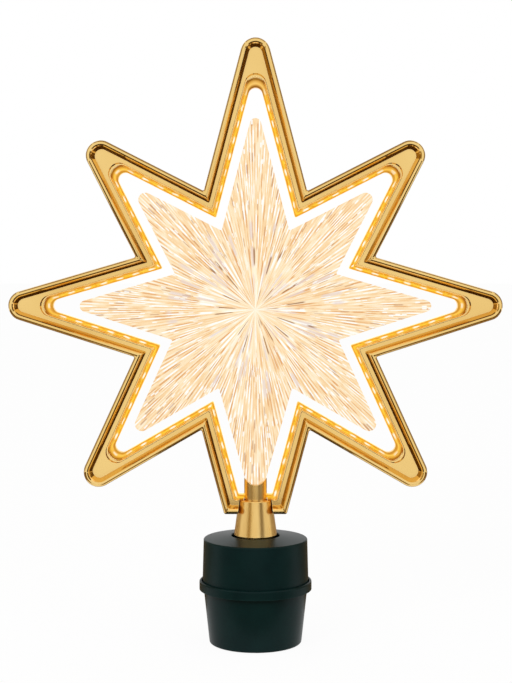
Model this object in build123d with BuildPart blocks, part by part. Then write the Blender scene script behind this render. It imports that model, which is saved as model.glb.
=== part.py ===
from build123d import *
import os
from math import acos, asin, atan2, cos, floor, hypot, radians, sin, tan

os.makedirs("parts", exist_ok=True)

# Sizes in millimetres, +Z up, z = 0 on the underside of the base, front of the star toward -Y.

# Star outline, measured from the centre of the star
top_reach = 135.3
bottom_reach = 137.8
side_reach = 122.65
upper_diagonal_reach = 116.0
lower_diagonal_reach = 119.2
top_valley_radius = 64.4
upper_side_valley_radius = 65.0
lower_side_valley_radius = 64.3
bottom_valley_radius = 65.15
tip_radius = 7.4
valley_rounding = 0.7
side_angle = 1.1
upper_diagonal_angle = 45
lower_diagonal_angle = -45.9
top_valley_angle = 66.5
upper_side_valley_angle = 23.8
lower_side_valley_angle = -21.2
bottom_valley_angle = -65.75

# Feet, where the bottom spoke is cut off to stand on the sleeve
foot_cut = 36.6
foot_gap = 13.0
foot_rounding = 1.2

# Frame section, insets measured square to the outer edge and levels from the middle plane;
# each step of the rim and the tray wall is an inset with its drop below the crest
frame_half = 8.0
rim_steps = ((0, 2.0), (0.3, 1.0), (0.8, 0.35), (1.4, 0))
tray_steps = ((2.75, 0.9), (2.3, 0.3), (1.7, 0))
floor_inset = 4.1
floor_level = 3.5
floor_tip_radius = 3.4
lip_inset = 5.9
lip_tip_radius = 5.4
lip_height = 0.7
lip_crest_start = 6.15
lip_crest_end = 6.4
opening_inset = 7.1
opening_tip_radius = 4.4
channel_inset = 6.5
channel_tip_radius = 5.4
channel_clearance = 0.05
cavity_inset = 2.0
cavity_end_inset = 5.0
cavity_half = 2.0
cavity_end_radius = 6.8

# Frame screws, driven from the back into the tips and the sleeve tongues
boss_radius = 2.2
frame_screw_radius = 0.9
frame_screw_clearance = 0.1
frame_head_radius = 1.9
frame_head_height = 1.2
frame_head_room = 0.2
frame_screw_reach = 1.9

# Light strip, its chips and the cover over them
strip_thickness = 0.3
strip_half_width = 2.0
chip_pitch = 8.33
chip_length = 2.8
chip_height = 0.8
chip_width = 3.5
chip_tip_lift = 0.3
cover_inset = 9.1
cover_half_width = 2.9
cover_pocket_inset = 8.2
cover_pocket_half = 2.2
cover_tip_radius = 3.5
strip_gap_margin = 0.4
strip_gap_top = 12.0

# Clear star panel that turns inside the frame
panel_inset = 13.5
panel_half = 2.5
panel_tip_radius = 2.8
panel_diagonal_radius = 3.5
panel_foot_radius = 5.8
panel_foot_lift = 5.0
groove_width = 0.9
groove_depth = 0.5
groove_start = 12.0
groove_second_start = 30.0
groove_count = 32
groove_second_count = 64
tab_half_width = 2.2
tab_drop = 4.9
tab_root = 3.3

# Post that carries the panel
post_radius = 5.65
prong_rise = 2.7
shoulder_gap = 0.2
stem_radius = 4.0
stem_gap = 0.3
notch_clearance = 0.15
tab_clearance = 0.1
pin_radius = 0.75
pin_setback = 0.4
pin_drop = 2.7
pin_clearance = 0.05

# Sleeve that carries the frame and turns on the base
sleeve_rise = 6.3
sleeve_top_radius = 8.35
sleeve_skirt_radius = 10.7
sleeve_skirt_gap = 0.45
sleeve_neck_radius = 9.2
sleeve_edge = 0.3
sleeve_bore_radius = 7.1
sleeve_mouth_clearance = 0.2
sleeve_pivot_depth = 4.7
flange_radius = 14.0
flange_height = 3.3
stop_tab_length = 2.0
stop_tab_width = 3.0
stop_peg_gap = 0.2
stop_peg_radius = 1.0
stop_peg_lift = 0.6
seat_clearance = 0.06
seat_overlap = 0.35
tongue_clearance = 0.2
tongue_slack = 0.1
tongue_end_gap = 0.6
tongue_screw_setback = 1.9
bush_depth = 0.8
bush_length = 2.0
bush_clearance = 0.08
bush_fit = 0.05

# Base cap, its top rising a little toward the sleeve
cap_seat_depth = 3.4
cap_bottom_radius = 26.5
cap_top_radius = 25.9
cap_wall = 2.0
cap_rise = 1.6
cap_hole_gap = 1.35
cap_hole_edge = 0.4
cap_edge_radius = 0.7
washer_inner_gap = 0.6
washer_outer_gap = 0.6
washer_height = 1.0

# Base cup with its ring
cup_bottom_radius = 22.9
cup_top_radius = 25.8
cup_height = 26.2
cup_foot_rounding = 1.0
cup_wall = 2.0
ring_radius = 28.0
ring_slope = 0.4
ring_height = 4.4
ring_wall = 1.2
ring_edge_radius = 0.8
ring_inner_edge = 0.3
ledge_radius = 23.6
socket_radius = 9.5
socket_wall = 2.0
socket_depth = 22.0
socket_lead = 0.8

# Chassis plate that bears the sleeve and carries the motor
plate_thickness = 2.0
plate_side_gap = 0.5
plate_hole_radius = 3.0
collar_inner = 6.6
collar_outer = 7.92
collar_height = 2.0
pivot_clearance = 0.08
case_boss_gap = 0.6
case_boss_radius = 2.6
case_boss_rise = 1.0
case_boss_angles = (195, 270, 345)
case_post_radius = 2.9
case_seat_wall = 3.0
case_head_radius = 2.1
case_head_height = 1.8
case_screw_radius = 1.15
case_screw_grip = 11.0
case_clearance = 0.2
plate_screw_setback = 3.9
plate_screw_angles = (45, 90, 225)
plate_boss_radius = 2.5
plate_screw_radius = 1.0
plate_head_radius = 1.9
plate_head_height = 1.4
plate_screw_grip = 3.5

# Slow gear motor under the chassis plate
motor_radius = 15.4
motor_gap = 2.0
motor_height = 13.0
motor_nose_radius = 4.5
motor_nose_height = 1.5
motor_edge = 0.8
pillar_height = 4.3
ear_overhang = 2.8
ear_radius = 2.4
ear_thickness = 1.0
ear_angles = (135, 315)
motor_screw_radius = 0.9
motor_head_radius = 1.7
motor_head_height = 1.3
motor_screw_grip = 3.4
shaft_radius = 2.5
shaft_clearance = 0.08
shaft_depth = 6.0
shaft_rise = 7.7
shaft_flat = 1.9
shaft_flat_gap = 1.5

# Circuit board, power jack and switch at the back of the cup
board_gap = 0.7
board_side_gap = 0.5
board_rise = 3.6
board_thickness = 1.6
board_start = 10
board_sweep = 174
board_screw_angles = (22, 162)
board_post_radius = 2.2
board_screw_radius = 0.9
board_head_radius = 1.7
board_head_height = 1.2
board_screw_grip = 2.4
chip_body_angle = 46
chip_body_offset = 1.1
chip_body_length = 3.6
chip_body_width = 4.4
chip_body_height = 1.6
capacitor_angle = 138
capacitor_offset = 0.3
capacitor_radius = 2.6
capacitor_height = 8.0
jack_across = -5.5
jack_width = 6.4
jack_length = 6.8
jack_height = 5.6
jack_nose_length = 3.5
jack_nose_radius = 2.7
jack_bore_radius = 1.8
jack_bore_depth = 8.3
jack_pin_radius = 0.65
jack_pin_setback = 1.1
jack_hole_clearance = 0.3
switch_across = 5.5
switch_length = 8.6
switch_depth = 4.4
switch_height = 4.7
switch_setback = 4.1
slot_half_length = 3.3
slot_half_height = 1.25
slot_depth = 1.6
knob_half = 1.0
knob_gap = 0.3
knob_reach = 2.0
knob_edge = 0.3

# Leads
wire_radius = 0.5
wire_spread = 0.6
wire_bend = 1.5
wire_hole_radius = 1.35
wire_hole_margin = 0.05
wire_pass_drop = 1.5
wire_riser_setback = 1.1
wire_exit_rise = 0.8
wire_foot_gap = 1.45
wire_room = 0.85
wire_slot_half = 1.25
wire_slot_room = 0.65
motor_wire_angle = 35
motor_wire_rise = 3.5
motor_wire_gap = 2.8

# Heights of the base, from the socket up to the cap
socket_top = socket_depth + socket_wall
case_boss_bottom = socket_top + case_boss_rise
case_seat = case_boss_bottom - case_seat_wall
case_screw_tip = case_boss_bottom + case_screw_grip
motor_bottom = socket_top + motor_gap
motor_top = motor_bottom + motor_height
motor_nose_top = motor_top + motor_nose_height
motor_screw_tip = motor_top + motor_screw_grip
plate_bottom = motor_top + pillar_height
plate_top = plate_bottom + plate_thickness
plate_screw_tip = plate_top + plate_screw_grip
flange_top = plate_top + flange_height
cap_underside = flange_top + washer_height
cap_top = cap_underside + cap_wall
ring_bottom = cup_height + ring_slope
ring_top = ring_bottom + ring_height
cap_bottom = ring_top - cap_seat_depth
board_bottom = cup_wall + board_rise
board_top = board_bottom + board_thickness
board_screw_tip = board_bottom - board_screw_grip

# Heights of the stem and the star above the base
foot_drop = bottom_reach - foot_cut
foot_level = cap_top + foot_gap
star_height = foot_level + foot_drop
sleeve_top = foot_level + sleeve_rise
skirt_bottom = cap_top + cap_rise + sleeve_skirt_gap
bush_top = sleeve_top - bush_depth
bush_bottom = bush_top - bush_length
post_shoulder = bush_bottom - shoulder_gap
stem_bottom = plate_top + stem_gap
shaft_bottom = motor_top - shaft_depth
shaft_top = plate_top + shaft_rise
shaft_flat_bottom = motor_nose_top + shaft_flat_gap
tongue_bottom = foot_level + cavity_inset + tongue_clearance
tongue_top = foot_level + cavity_end_inset - tongue_clearance
tongue_half_depth = cavity_half - tongue_slack

# Places and radii that follow from their neighbours
case_boss_place = motor_radius + case_boss_gap + case_boss_radius
ear_place = motor_radius + ear_overhang
plate_radius = cap_top_radius - cap_wall - plate_side_gap
plate_screw_place = plate_radius - plate_screw_setback
sleeve_pivot_radius = collar_outer + pivot_clearance
sleeve_mouth_radius = post_radius + sleeve_mouth_clearance
bush_bore_radius = post_radius + bush_clearance
bush_outer_radius = sleeve_bore_radius - bush_fit
cap_hole_radius = sleeve_skirt_radius + cap_hole_gap
washer_inner = sleeve_neck_radius + washer_inner_gap
washer_outer = flange_radius - washer_outer_gap
stop_peg_place = flange_radius + stop_peg_gap + stop_peg_radius
stop_tab_reach = flange_radius + stop_tab_length
ring_inner_radius = ring_radius - ring_wall
board_inner = socket_radius + socket_wall + board_gap
board_outer = cup_bottom_radius - cup_wall - board_side_gap
board_middle = (board_inner + board_outer) / 2
jack_axis = board_top + jack_height / 2
jack_nose_front = cup_bottom_radius
jack_front = jack_nose_front - jack_nose_length
jack_back = jack_front - jack_length
switch_axis = board_top + switch_height / 2
switch_front = cup_bottom_radius - switch_setback
switch_back = switch_front - switch_depth
slot_floor = switch_front - slot_depth
knob_back = slot_floor + knob_gap
knob_front = cup_bottom_radius + knob_reach
wire_column = collar_inner - wire_hole_radius - wire_hole_margin
wire_riser = board_outer - wire_riser_setback
wire_foot_place = sleeve_top_radius + wire_foot_gap

front_plane = Plane(origin=(0, 0, star_height), x_dir=(1, 0, 0), z_dir=(0, -1, 0))
back_plane = Plane(origin=(0, 0, star_height), x_dir=(-1, 0, 0), z_dir=(0, 1, 0))
spoke_reaches = (
    side_reach,
    upper_diagonal_reach,
    top_reach,
    upper_diagonal_reach,
    side_reach,
    lower_diagonal_reach,
    bottom_reach,
    lower_diagonal_reach,
)
half_turn = 180
upright = 90
spoke_angles = (
    side_angle,
    upper_diagonal_angle,
    upright,
    half_turn - upper_diagonal_angle,
    half_turn - side_angle,
    half_turn - lower_diagonal_angle,
    -upright,
    lower_diagonal_angle,
)
bottom_spoke = 6
diagonal_spokes = (1, 3, 5, 7)
rising = (Align.CENTER, Align.CENTER, Align.MIN)


def polar(radius, angle):
    return Vector(radius * cos(radians(angle)), radius * sin(radians(angle)))


right_valleys = [
    polar(upper_side_valley_radius, upper_side_valley_angle),
    polar(top_valley_radius, top_valley_angle),
    polar(bottom_valley_radius, bottom_valley_angle),
    polar(lower_side_valley_radius, lower_side_valley_angle),
]
left_valleys = [Vector(-valley.X, valley.Y) for valley in right_valleys]
valleys = right_valleys[:2] + left_valleys[1::-1] + left_valleys[:1:-1] + right_valleys[2:]


def spoke_apex(number):
    # Point where the two straight edges of a spoke would meet past its rounded tip
    centre = polar(spoke_reaches[number] - tip_radius, spoke_angles[number])
    first = valleys[number - 1]
    second = valleys[number]
    to_first = centre - first
    to_second = centre - second
    first_turn = atan2(to_first.Y, to_first.X) - asin(tip_radius / to_first.length)
    second_turn = atan2(to_second.Y, to_second.X) + asin(tip_radius / to_second.length)
    first_run = Vector(cos(first_turn), sin(first_turn))
    second_run = Vector(cos(second_turn), sin(second_turn))
    reach = (second - first).cross(second_run).Z / first_run.cross(second_run).Z
    return first + first_run * reach


def star_corners(footed):
    # Sharp corners of the outer outline in order, each with its kind
    corners = []
    for number, valley in enumerate(valleys):
        apex = spoke_apex(number)
        if footed and number == bottom_spoke:
            for start in (valleys[number - 1], valley):
                share = (foot_drop + start.Y) / (start.Y - apex.Y)
                corners.append((start + (apex - start) * share, "foot"))
        elif number == bottom_spoke:
            corners.append((apex, "bottom"))
        else:
            corners.append((apex, "diagonal" if number in diagonal_spokes else "tip"))
        corners.append((valley, "valley"))
    return corners


def inset_corners(inset, footed=True):
    # The same corners with every edge moved inward by the inset
    corners = star_corners(footed)
    moved = []
    for number, (corner, kind) in enumerate(corners):
        before = (corner - corners[number - 1][0]).normalized()
        after = (corners[(number + 1) % len(corners)][0] - corner).normalized()
        first = Vector(-before.Y, before.X)
        second = Vector(-after.Y, after.X)
        moved.append((corner + (first + second) * (inset / (1 + first.dot(second))), kind))
    return moved


def corner_radii(tip, bottom):
    return {
        "tip": tip,
        "diagonal": tip,
        "bottom": bottom,
        "foot": foot_rounding,
        "valley": valley_rounding,
    }


def panel_corners(inset):
    # Corners of the clear star, whose bottom spoke ends higher than the frame's would
    lift = Vector(0, panel_foot_lift)
    corners = inset_corners(inset, footed=False)
    return [(corner + lift if kind == "bottom" else corner, kind) for corner, kind in corners]


def rounded_face(plane, corners, radii):
    with BuildSketch(plane) as outline:
        with BuildLine():
            FilletPolyline(
                *[corner for corner, kind in corners],
                radius=[radii[kind] for corner, kind in corners],
                close=True,
            )
        make_face()
    return outline.sketch


def star_face(plane, inset, tip):
    return rounded_face(plane, inset_corners(inset), corner_radii(tip, tip))


def panel_face(plane, clearance):
    radii = corner_radii(panel_tip_radius, panel_foot_radius + clearance)
    radii["diagonal"] = panel_diagonal_radius
    return rounded_face(plane, panel_corners(panel_inset - clearance), radii)


def tip_reach(corners, number, radius):
    # Distance from the centre of the star to the rounded tip of one spoke
    corner = corners[2 * number][0]
    before = (corners[2 * number - 1][0] - corner).normalized()
    after = (corners[2 * number + 1][0] - corner).normalized()
    half_angle = acos(before.dot(after)) / 2
    return corner.length - radius / sin(half_angle) + radius


def star_band(plane, outer, outer_tip, inner, inner_tip):
    return star_face(plane, outer, outer_tip) - star_face(plane, inner, inner_tip)


def discs(plane, places, radius):
    with BuildSketch(plane) as drawn:
        with Locations(*places):
            Circle(radius)
    return drawn.sketch


def ring_of(radius, angles):
    return [polar(radius, angle) for angle in angles]


def tip_places():
    # Middle of the tray floor in every whole tip
    floor_corners = inset_corners(floor_inset, footed=False)
    lip_corners = inset_corners(lip_inset, footed=False)
    places = []
    for number in range(len(spoke_reaches)):
        if number != bottom_spoke:
            outer = tip_reach(floor_corners, number, floor_tip_radius)
            inner = tip_reach(lip_corners, number, lip_tip_radius)
            places.append(floor_corners[2 * number][0].normalized() * ((outer + inner) / 2))
    return places


def leg_half_width(level, inset):
    # Half the width of the bottom spoke at a height
    apex = spoke_apex(bottom_spoke)
    valley = valleys[bottom_spoke]
    slope = (valley.X - apex.X) / (valley.Y - apex.Y)
    return (level - star_height - apex.Y) * slope - inset * hypot(1, slope)


def sleeve_radius(level):
    # Radius of the tapered sleeve at a height
    share = (level - skirt_bottom) / (sleeve_top - sleeve_edge - skirt_bottom)
    return sleeve_skirt_radius + (sleeve_top_radius - sleeve_skirt_radius) * share


tongue_reach = leg_half_width(tongue_bottom, cavity_inset) - tongue_end_gap
tongue_screw_place = tongue_reach - tongue_screw_setback
strip_gap_half = post_radius + strip_gap_margin
wire_exit_height = tongue_bottom + wire_exit_rise
wire_foot_top = foot_level + channel_inset
panel_tip_level = star_height - tip_reach(panel_corners(panel_inset), bottom_spoke, panel_foot_radius)
tab_bottom = panel_tip_level - tab_drop
tab_top = panel_tip_level + tab_root
post_top = panel_tip_level + prong_rise
pin_height = panel_tip_level - pin_drop
pin_half_length = post_radius - pin_setback


def tongue_place(side):
    return [Vector(side * tongue_screw_place, (tongue_bottom + tongue_top) / 2 - star_height)]


def star_steps(plane, steps, first_tip):
    # Outlines of one rounded surface of the frame, each at its own inset and level
    first_inset = steps[0][0]
    return [
        star_face(plane.offset(level), inset, first_tip + first_inset - inset).face()
        for inset, level in steps
    ]


def half_frame(plane):
    # One half of the hollow gold frame, drawn from the middle plane outward
    rim = [(inset, frame_half - drop) for inset, drop in rim_steps]
    tray = [(floor_inset, floor_level)]
    tray += [(inset, frame_half - drop) for inset, drop in tray_steps]
    extrude(star_face(plane, 0, tip_radius), amount=rim[0][1])
    loft(star_steps(plane, rim, tip_radius), ruled=True)
    loft(star_steps(plane, tray, floor_tip_radius), ruled=True, mode=Mode.SUBTRACT)
    lip_level = floor_level + lip_height
    loft(
        [
            star_face(plane.offset(floor_level), lip_inset, lip_tip_radius).face(),
            star_face(plane.offset(lip_level), lip_crest_start, lip_tip_radius).face(),
        ],
        ruled=True,
    )
    channel_half = cover_half_width + channel_clearance
    loft(
        [
            star_face(plane.offset(channel_half), opening_inset, opening_tip_radius).face(),
            star_face(plane.offset(lip_level), lip_crest_end, lip_tip_radius).face(),
        ],
        ruled=True,
        mode=Mode.SUBTRACT,
    )
    channel = star_face(plane, channel_inset, channel_tip_radius)
    extrude(channel, amount=channel_half, mode=Mode.SUBTRACT)
    cavity = star_band(
        plane, cavity_inset, tip_radius - cavity_inset, cavity_end_inset, cavity_end_radius
    )
    extrude(cavity, amount=cavity_half, mode=Mode.SUBTRACT)
    extrude(discs(plane, tip_places(), boss_radius), amount=cavity_half)


def sleeve_seat():
    # Room for the sleeve between the two feet of the frame and for the leads beside it
    low = sleeve_radius(foot_level)
    slot_top = foot_level + strip_gap_top
    with BuildSketch(Plane.XZ) as slot:
        with BuildLine():
            Polyline(
                (seat_overlap - low, foot_level),
                (low - seat_overlap, foot_level),
                (sleeve_top_radius - seat_overlap, sleeve_top),
                (sleeve_top_radius - seat_overlap, slot_top),
                (seat_overlap - sleeve_top_radius, slot_top),
                (seat_overlap - sleeve_top_radius, sleeve_top),
                close=True,
            )
        make_face()
    extrude(slot.sketch, amount=frame_half, both=True, mode=Mode.SUBTRACT)
    with BuildSketch(Plane.XZ) as cone:
        with BuildLine():
            Polyline(
                (0, foot_level),
                (low + seat_clearance, foot_level),
                (sleeve_top_radius + seat_clearance, sleeve_top),
                (sleeve_top_radius + seat_clearance, slot_top),
                (0, slot_top),
                close=True,
            )
        make_face()
    revolve(cone.sketch, axis=Axis.Z, mode=Mode.SUBTRACT)
    with Locations((-wire_foot_place, 0, tongue_bottom)):
        Cylinder(wire_slot_half, strip_gap_top, align=rising, mode=Mode.SUBTRACT)


def drop_screws(places, seat, head_radius, head_height, shank_radius, tip):
    # Pan-head screws standing on end with the head below its seat
    extrude(discs(Plane.XY.offset(seat - head_height), places, head_radius), amount=head_height)
    extrude(discs(Plane.XY.offset(seat), places, shank_radius), amount=tip - seat)


def wire(plane, path, radius):
    # One round lead along a path of straight runs with rounded bends
    with BuildPart() as lead:
        with BuildLine(plane) as run:
            FilletPolyline(*path, radius=wire_bend)
        with BuildSketch(Plane(origin=run.line @ 0, z_dir=run.line % 0)):
            Circle(radius)
        sweep()
    return lead.part


with BuildPart() as frame_front:
    half_frame(front_plane)
    extrude(
        discs(front_plane, tip_places(), frame_screw_radius),
        amount=frame_screw_reach,
        mode=Mode.SUBTRACT,
    )
    sleeve_seat()
frame_front.part.label = "frame_front"
export_step(frame_front.part, "parts/frame_front.step")

with BuildPart() as frame_back:
    half_frame(back_plane)
    extrude(
        discs(back_plane, tip_places() + tongue_place(-1), frame_screw_radius + frame_screw_clearance),
        amount=floor_level,
        mode=Mode.SUBTRACT,
    )
    extrude(
        discs(back_plane.offset(floor_level), tongue_place(-1), frame_head_radius + frame_head_room),
        amount=frame_half - floor_level,
        mode=Mode.SUBTRACT,
    )
    sleeve_seat()
frame_back.part.label = "frame_back"
export_step(frame_back.part, "parts/frame_back.step")

with BuildPart() as frame_screws:
    screw_places = tip_places() + tongue_place(-1)
    extrude(
        discs(back_plane.offset(floor_level), screw_places, frame_head_radius),
        amount=frame_head_height,
    )
    extrude(
        discs(back_plane.offset(-frame_screw_reach), screw_places, frame_screw_radius),
        amount=frame_screw_reach + floor_level,
    )
frame_screws.part.label = "frame_screws"
export_step(frame_screws.part, "parts/frame_screws.step")

with BuildPart() as light_strip:
    strip = star_band(
        front_plane.offset(-strip_half_width),
        channel_inset,
        channel_tip_radius,
        channel_inset + strip_thickness,
        channel_tip_radius - strip_thickness,
    )
    extrude(strip, amount=2 * strip_half_width)
    with Locations((0, 0, foot_level)):
        Box(
            2 * strip_gap_half,
            2 * frame_half,
            strip_gap_top,
            align=rising,
            mode=Mode.SUBTRACT,
        )
light_strip.part.label = "light_strip"
export_step(light_strip.part, "parts/light_strip.step")

with BuildPart() as light_cover:
    cover = star_band(
        front_plane.offset(-cover_half_width),
        channel_inset,
        channel_tip_radius,
        cover_inset,
        cover_tip_radius,
    )
    extrude(cover, amount=2 * cover_half_width)
    pocket = star_band(
        front_plane.offset(-cover_pocket_half),
        channel_inset,
        channel_tip_radius,
        cover_pocket_inset,
        channel_tip_radius - strip_thickness - chip_height,
    )
    extrude(pocket, amount=2 * cover_pocket_half, mode=Mode.SUBTRACT)
    with Locations((0, 0, foot_level)):
        Box(
            2 * strip_gap_half,
            2 * frame_half,
            strip_gap_top,
            align=rising,
            mode=Mode.SUBTRACT,
        )
light_cover.part.label = "light_cover"
export_step(light_cover.part, "parts/light_cover.step")

chip_inset = channel_inset + strip_thickness
chip_corners = inset_corners(chip_inset)
chip_radii = corner_radii(channel_tip_radius - strip_thickness, tip_radius)
chip_places = []
for number, (corner, kind) in enumerate(chip_corners):
    end, end_kind = chip_corners[(number + 1) % len(chip_corners)]
    if kind != "foot" or end_kind != "foot":
        trims = []
        for turn in (number, (number + 1) % len(chip_corners)):
            here, here_kind = chip_corners[turn]
            before = (here - chip_corners[turn - 1][0]).normalized()
            after = (chip_corners[(turn + 1) % len(chip_corners)][0] - here).normalized()
            bend = atan2(abs(before.cross(after).Z), before.dot(after))
            trims.append(chip_radii[here_kind] * tan(bend / 2))
        heading = (end - corner).normalized()
        straight = (end - corner).length - sum(trims)
        count = floor((straight - chip_length) / chip_pitch) + 1
        start = trims[0] + (straight - (count - 1) * chip_pitch) / 2
        for chip in range(count):
            place = corner + heading * (start + chip * chip_pitch)
            chip_places.append((place, heading))
    if kind in ("tip", "diagonal"):
        before = (corner - chip_corners[number - 1][0]).normalized()
        inward = ((end - corner).normalized() - before).normalized()
        half_angle = asin(abs(before.cross(inward).Z))
        setback = chip_radii[kind] / sin(half_angle) - chip_radii[kind] + chip_tip_lift
        chip_places.append((corner + inward * setback, Vector(inward.Y, -inward.X)))

with BuildPart() as led_chips:
    with BuildSketch(front_plane.offset(-chip_width / 2)) as chip_plan:
        for place, heading in chip_places:
            inward = Vector(-heading.Y, heading.X)
            middle = place + inward * (chip_height / 2)
            with Locations(Location((middle.X, middle.Y), atan2(heading.Y, heading.X) / radians(1))):
                Rectangle(chip_length, chip_height)
    extrude(amount=chip_width)
led_chips.part.label = "led_chips"
export_step(led_chips.part, "parts/led_chips.step")

with BuildPart() as groove_tool:
    with BuildSketch(Plane.YZ.offset(groove_start)):
        with BuildLine():
            Polyline((-groove_width / 2, 0), (0, -groove_depth), (groove_width / 2, 0), close=True)
        make_face()
    extrude(amount=max(spoke_reaches))

with BuildPart() as star_panel:
    extrude(panel_face(front_plane.offset(-panel_half), 0), amount=2 * panel_half)
    for face_plane in (front_plane.offset(panel_half), back_plane.offset(panel_half)):
        first_turns = PolarLocations(0, groove_count).locations
        second_turns = PolarLocations(0, groove_second_count, half_turn / groove_second_count).locations
        later = Location((groove_second_start - groove_start, 0, 0))
        cuts = [face_plane.location * turn * groove_tool.part for turn in first_turns]
        cuts += [face_plane.location * turn * later * groove_tool.part for turn in second_turns]
        add(cuts, mode=Mode.SUBTRACT)
    with Locations((0, 0, tab_bottom)):
        Box(2 * tab_half_width, 2 * panel_half, tab_top - tab_bottom, align=rising)
    extrude(
        discs(Plane.YZ, [(0, pin_height)], pin_radius + pin_clearance),
        amount=post_radius,
        both=True,
        mode=Mode.SUBTRACT,
    )
star_panel.part.label = "star_panel"
export_step(star_panel.part, "parts/star_panel.step")

with BuildPart() as star_post:
    with Locations((0, 0, post_shoulder)):
        Cylinder(post_radius, post_top - post_shoulder, align=rising)
    with Locations((0, 0, stem_bottom)):
        Cylinder(stem_radius, post_shoulder - stem_bottom, align=rising)
    notch = panel_face(front_plane, notch_clearance)
    extrude(notch, amount=2 * post_radius, both=True, mode=Mode.SUBTRACT)
    with Locations((0, 0, tab_bottom - tab_clearance)):
        Box(
            2 * (tab_half_width + tab_clearance),
            2 * (panel_half + tab_clearance),
            post_top - tab_bottom,
            align=rising,
            mode=Mode.SUBTRACT,
        )
    with BuildSketch(Plane.XY.offset(stem_bottom)):
        Circle(shaft_radius + shaft_clearance)
        with Locations((shaft_radius + shaft_flat + shaft_clearance, 0)):
            Rectangle(2 * shaft_radius, 2 * stem_radius, mode=Mode.SUBTRACT)
    extrude(amount=shaft_top + shaft_clearance - stem_bottom, mode=Mode.SUBTRACT)
    extrude(
        discs(Plane.YZ, [(0, pin_height)], pin_radius + pin_clearance),
        amount=post_radius,
        both=True,
        mode=Mode.SUBTRACT,
    )
star_post.part.label = "star_post"
export_step(star_post.part, "parts/star_post.step")

with BuildPart() as post_pin:
    extrude(discs(Plane.YZ, [(0, pin_height)], pin_radius), amount=pin_half_length, both=True)
post_pin.part.label = "post_pin"
export_step(post_pin.part, "parts/post_pin.step")

with BuildPart() as motor_shaft:
    with Locations((0, 0, shaft_bottom)):
        Cylinder(shaft_radius, shaft_top - shaft_bottom, align=rising)
    with Locations((shaft_flat + shaft_radius, 0, shaft_flat_bottom)):
        Box(
            2 * shaft_radius,
            2 * shaft_radius,
            shaft_top - shaft_flat_bottom,
            align=rising,
            mode=Mode.SUBTRACT,
        )
motor_shaft.part.label = "motor_shaft"
export_step(motor_shaft.part, "parts/motor_shaft.step")

with BuildPart() as stem_sleeve:
    with BuildSketch(Plane.XZ):
        with BuildLine():
            Polyline(
                (sleeve_pivot_radius, plate_top),
                (flange_radius, plate_top),
                (flange_radius, flange_top),
                (sleeve_neck_radius, flange_top),
                (sleeve_neck_radius, skirt_bottom),
                (sleeve_skirt_radius, skirt_bottom),
                (sleeve_top_radius, sleeve_top - sleeve_edge),
                (sleeve_top_radius - sleeve_edge, sleeve_top),
                (sleeve_mouth_radius, sleeve_top),
                (sleeve_mouth_radius, bush_top),
                (sleeve_bore_radius, bush_top),
                (sleeve_bore_radius, plate_top + sleeve_pivot_depth),
                (sleeve_pivot_radius, plate_top + sleeve_pivot_depth),
                close=True,
            )
        make_face()
    revolve(axis=Axis.Z)
    with Locations((0, 0, tongue_bottom)):
        Box(2 * tongue_reach, 2 * tongue_half_depth, tongue_top - tongue_bottom, align=rising)
    with Locations((0, 0, tongue_bottom)):
        Cylinder(sleeve_bore_radius, bush_top - tongue_bottom, align=rising, mode=Mode.SUBTRACT)
    slot_length = wire_foot_place + wire_room
    with Locations((-slot_length / 2, 0, wire_exit_height)):
        Box(slot_length, 2 * wire_slot_half, 2 * wire_slot_room, mode=Mode.SUBTRACT)
    with Locations((-wire_foot_place, 0, wire_exit_height - wire_slot_room)):
        Box(
            2 * wire_room,
            2 * wire_slot_half,
            tongue_top - wire_exit_height + wire_slot_room,
            align=rising,
            mode=Mode.SUBTRACT,
        )
    extrude(
        discs(front_plane, tongue_place(1), frame_screw_radius + frame_screw_clearance),
        amount=frame_half,
        both=True,
        mode=Mode.SUBTRACT,
    )
    with Locations((0, (flange_radius + stop_tab_reach - stop_tab_width) / 2, plate_top)):
        Box(
            stop_tab_width,
            stop_tab_reach - flange_radius + stop_tab_width,
            flange_top - plate_top,
            align=rising,
        )
stem_sleeve.part.label = "stem_sleeve"
export_step(stem_sleeve.part, "parts/stem_sleeve.step")

with BuildPart() as post_bush:
    with Locations((0, 0, bush_bottom)):
        Cylinder(bush_outer_radius, bush_top - bush_bottom, align=rising)
        Cylinder(bush_bore_radius, bush_top - bush_bottom, align=rising, mode=Mode.SUBTRACT)
post_bush.part.label = "post_bush"
export_step(post_bush.part, "parts/post_bush.step")

with BuildPart() as base_cap:
    with BuildSketch(Plane.XZ):
        with BuildLine():
            Polyline(
                (cap_bottom_radius, cap_bottom),
                (cap_top_radius, cap_top),
                (cap_hole_radius, cap_top + cap_rise),
                (cap_hole_radius, cap_underside),
                (cap_top_radius - cap_wall, cap_underside),
                (cap_bottom_radius - cap_wall, cap_bottom),
                close=True,
            )
        make_face()
    revolve(axis=Axis.Z)
    top_rings = edges().filter_by(GeomType.CIRCLE).group_by(Axis.Z)
    chamfer(top_rings[-1], cap_hole_edge)
    rim_rings = edges().filter_by(GeomType.CIRCLE).filter_by_position(Axis.Z, cap_underside, cap_top)
    fillet(rim_rings.sort_by(SortBy.RADIUS)[-1], cap_edge_radius)
    cap_bosses = discs(
        Plane.XY.offset(plate_top), ring_of(plate_screw_place, plate_screw_angles), plate_boss_radius
    )
    extrude(cap_bosses, amount=cap_underside - plate_top)
    cap_pilots = discs(
        Plane.XY.offset(plate_top), ring_of(plate_screw_place, plate_screw_angles), plate_screw_radius
    )
    extrude(cap_pilots, amount=plate_screw_tip - plate_top, mode=Mode.SUBTRACT)
    with Locations((0, -stop_peg_place, plate_top + stop_peg_lift)):
        Cylinder(stop_peg_radius, cap_underside - plate_top - stop_peg_lift, align=rising)
base_cap.part.label = "base_cap"
export_step(base_cap.part, "parts/base_cap.step")

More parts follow.
